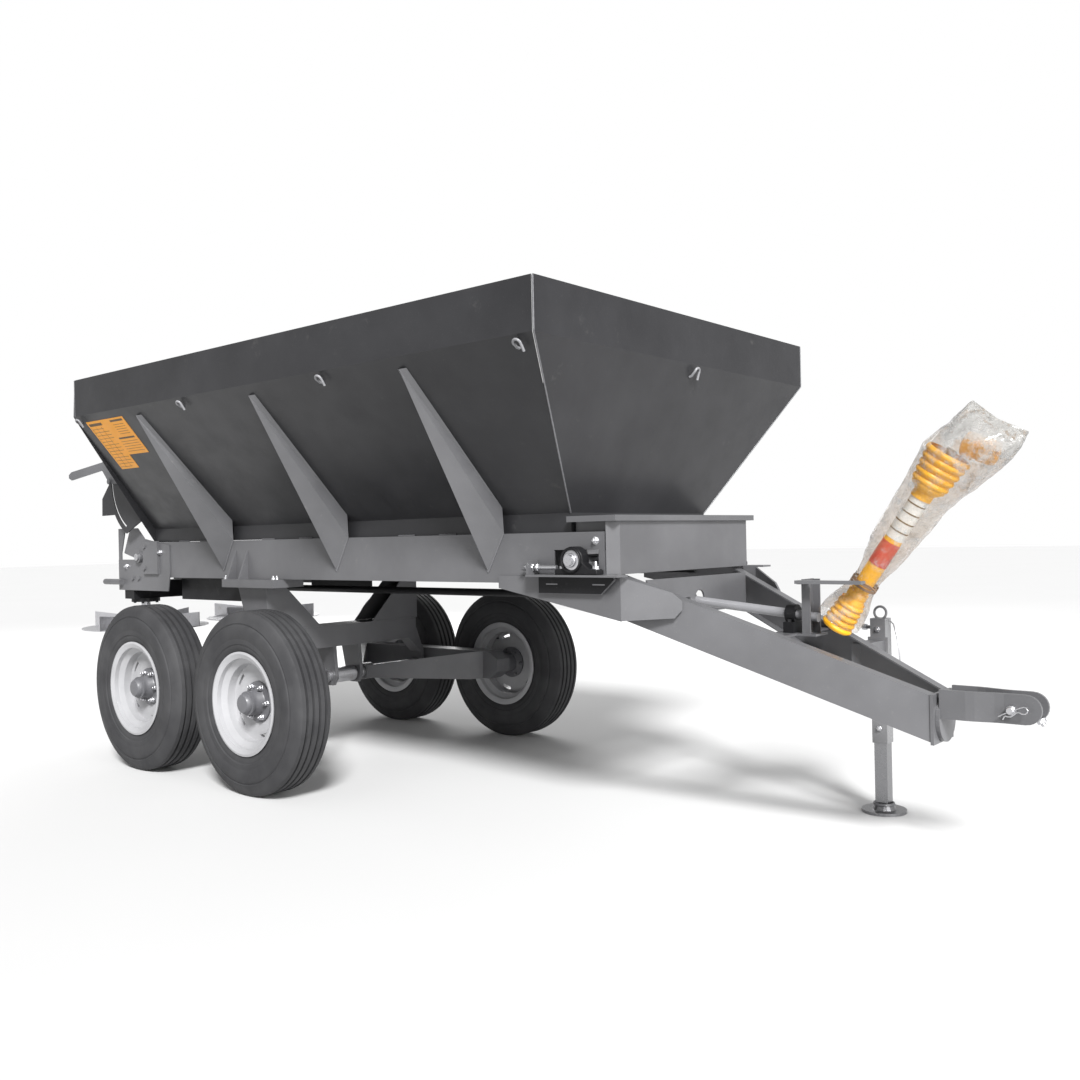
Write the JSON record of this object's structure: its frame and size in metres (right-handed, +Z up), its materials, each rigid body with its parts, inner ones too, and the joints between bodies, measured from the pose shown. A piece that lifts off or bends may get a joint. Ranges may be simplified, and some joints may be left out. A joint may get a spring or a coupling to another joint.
{
  "type": "garden spreader",
  "caption": "Trailed lime and fertiliser spreader: tapered hopper over a belt floor, tandem rocker axles, rear spinning discs and a drawbar with jack.",
  "frame": {"origin": "middle of the overall length and width, on the ground", "axes": "+X forward to the hitch, +Y to the machine's left, +Z up"},
  "size_m": [5.147, 1.9174, 1.9625],
  "materials": {
    "hopper_paint": "satin grey enamel",
    "frame_paint": "satin grey enamel",
    "dark_steel": "black",
    "bright_steel": "zinc plated",
    "rim_paint": "silver paint",
    "tyre_rubber": "matt",
    "belt_rubber": "matt",
    "guard_plastic": "satin",
    "yoke_paint": "satin",
    "film": "clear crumpled film"
  },
  "bodies": {
    "chassis": {"axle_crossbeam": "frame_paint", "axle_post_left": "frame_paint", "axle_post_right": "frame_paint", "belly_tray": "dark_steel", "carrier_bearing": "dark_steel", "chassis_beam_left": "frame_paint", "chassis_beam_right": "frame_paint", "conveyor_bed": "dark_steel", "conveyor_belt": "belt_rubber", "drawbar_head": "frame_paint", "drawbar_left": "frame_paint", "drawbar_panel": "frame_paint", "drawbar_right": "frame_paint", "front_bearing_left": "dark_steel", "front_bearing_right": "dark_steel", "front_box": "frame_paint", "front_bracket_left": "frame_paint", "front_bracket_right": "frame_paint", "front_lid": "frame_paint", "hopper_front_wall": "hopper_paint", "hopper_rear_wall": "hopper_paint", "hopper_side_left": "hopper_paint", "hopper_side_right": "hopper_paint", "jack_tube": "frame_paint", "pivot_shaft": "bright_steel", "pto_bag": "film", "pto_guard": "guard_plastic", "pto_holder": "frame_paint", "rear_plate_left": "frame_paint", "rear_plate_right": "frame_paint", "rib_left_1": "frame_paint", "rib_left_2": "frame_paint", "rib_left_3": "frame_paint", "rib_right_1": "frame_paint", "rib_right_2": "frame_paint", "rib_right_3": "frame_paint", "spinner_gearbox": "dark_steel"},
    "rocker_right": {"rocker_right": "frame_paint"},
    "rocker_left": {"rocker_left": "frame_paint"},
    "front_roller": {"front_roller": "bright_steel"},
    "rear_roller": {"rear_roller": "bright_steel"},
    "drive_shaft": {"drive_shaft": "bright_steel"},
    "drive_line": {"drive_line": "dark_steel"},
    "disc_right": {"disc_right": "bright_steel"},
    "disc_left": {"disc_left": "bright_steel"},
    "pto_shaft": {"pto_shaft": "bright_steel"},
    "pto_yoke": {"pto_yoke": "yoke_paint"},
    "hitch_clevis": {"hitch_clevis": "frame_paint"},
    "hitch_pin": {"hitch_pin": "bright_steel"},
    "jack_leg": {"jack_leg": "bright_steel"},
    "gate": {"gate": "frame_paint"},
    "gate_lever": {"gate_lever": "frame_paint"},
    "wheel_front_right": {"wheel_front_right": "rim_paint", "tyre_front_right": "tyre_rubber"},
    "wheel_rear_right": {"wheel_rear_right": "rim_paint", "tyre_rear_right": "tyre_rubber"},
    "wheel_front_left": {"wheel_front_left": "rim_paint", "tyre_front_left": "tyre_rubber"},
    "wheel_rear_left": {"wheel_rear_left": "rim_paint", "tyre_rear_left": "tyre_rubber"}
  },
  "joints": [
    {"name": "rocker_right_pivot", "type": "hinge", "parent": "chassis", "child": "rocker_right", "pos_m": [-0.8925, -0.62, 0.4], "axis": [0, 1, 0], "range_deg": [-8, 8]},
    {"name": "wheel_front_right_spin", "type": "hinge", "parent": "rocker_right", "child": "wheel_front_right", "pos_m": [-0.438, -0.841, 0.404], "axis": [0, 1, 0], "continuous": true},
    {"name": "wheel_rear_right_spin", "type": "hinge", "parent": "rocker_right", "child": "wheel_rear_right", "pos_m": [-1.347, -0.841, 0.404], "axis": [0, 1, 0], "continuous": true},
    {"name": "rocker_left_pivot", "type": "hinge", "parent": "chassis", "child": "rocker_left", "pos_m": [-0.8925, 0.62, 0.4], "axis": [0, 1, 0], "range_deg": [-8, 8]},
    {"name": "wheel_front_left_spin", "type": "hinge", "parent": "rocker_left", "child": "wheel_front_left", "pos_m": [-0.438, 0.841, 0.404], "axis": [0, 1, 0], "continuous": true},
    {"name": "wheel_rear_left_spin", "type": "hinge", "parent": "rocker_left", "child": "wheel_rear_left", "pos_m": [-1.347, 0.841, 0.404], "axis": [0, 1, 0], "continuous": true},
    {"name": "front_roller_spin", "type": "hinge", "parent": "chassis", "child": "front_roller", "pos_m": [1.102, 0, 1.014], "axis": [0, 1, 0], "continuous": true},
    {"name": "rear_roller_spin", "type": "hinge", "parent": "chassis", "child": "rear_roller", "pos_m": [-2.022, 0, 1.038], "axis": [0, 1, 0], "continuous": true},
    {"name": "disc_left_spin", "type": "hinge", "parent": "chassis", "child": "disc_left", "pos_m": [-2.164, 0.4, 0.64], "axis": [0, 0, 1], "continuous": true},
    {"name": "disc_right_spin", "type": "hinge", "parent": "chassis", "child": "disc_right", "pos_m": [-2.164, -0.4, 0.64], "axis": [0, 0, 1], "continuous": true},
    {"name": "drive_shaft_spin", "type": "hinge", "parent": "chassis", "child": "drive_shaft", "pos_m": [1.704, 0, 0.798], "axis": [0.9953, 0, -0.0965], "continuous": true},
    {"name": "drive_line_spin", "type": "hinge", "parent": "chassis", "child": "drive_line", "pos_m": [0.289, 0, 0.85], "axis": [1, 0, 0], "continuous": true},
    {"name": "pto_shaft_spin", "type": "hinge", "parent": "chassis", "child": "pto_shaft", "pos_m": [1.889, 0, 0.777], "axis": [0.5706, 0, 0.8212], "continuous": true},
    {"name": "pto_yoke_spin", "type": "hinge", "parent": "chassis", "child": "pto_yoke", "pos_m": [2.339, 0, 1.381], "axis": [0.9253, 0, -0.3794], "continuous": true},
    {"name": "hitch_swivel", "type": "hinge", "parent": "chassis", "child": "hitch_clevis", "pos_m": [2.246, 0, 0.465], "axis": [1, 0, 0], "range_deg": [-30, 30]},
    {"name": "hitch_pin_turn", "type": "hinge", "parent": "hitch_clevis", "child": "hitch_pin", "pos_m": [2.485, 0, 0.518], "axis": [0, 1, 0], "continuous": true},
    {"name": "jack_slide", "type": "slide", "parent": "chassis", "child": "jack_leg", "axis": [0, 0, 1], "range_m": [0, 0.2]},
    {"name": "gate_lever_turn", "type": "hinge", "parent": "chassis", "child": "gate_lever", "pos_m": [-1.923, 0, 1.47], "axis": [0, 1, 0], "range_deg": [-58, 0]},
    {"name": "gate_slide", "type": "slide", "parent": "chassis", "child": "gate", "axis": [0.1121, 0, 0.9937], "range_m": [-0.118, 0]}
  ],
  "couplings": [
    {"joint": "front_roller_spin", "follows": "rear_roller_spin", "ratio": 1},
    {"joint": "disc_right_spin", "follows": "disc_left_spin", "ratio": -1},
    {"joint": "drive_line_spin", "follows": "disc_left_spin", "ratio": 1},
    {"joint": "drive_shaft_spin", "follows": "disc_left_spin", "ratio": 1},
    {"joint": "pto_shaft_spin", "follows": "disc_left_spin", "ratio": 1},
    {"joint": "pto_yoke_spin", "follows": "disc_left_spin", "ratio": 1},
    {"joint": "gate_slide", "follows": "gate_lever_turn", "m_per_rad": 0.11494}
  ]
}
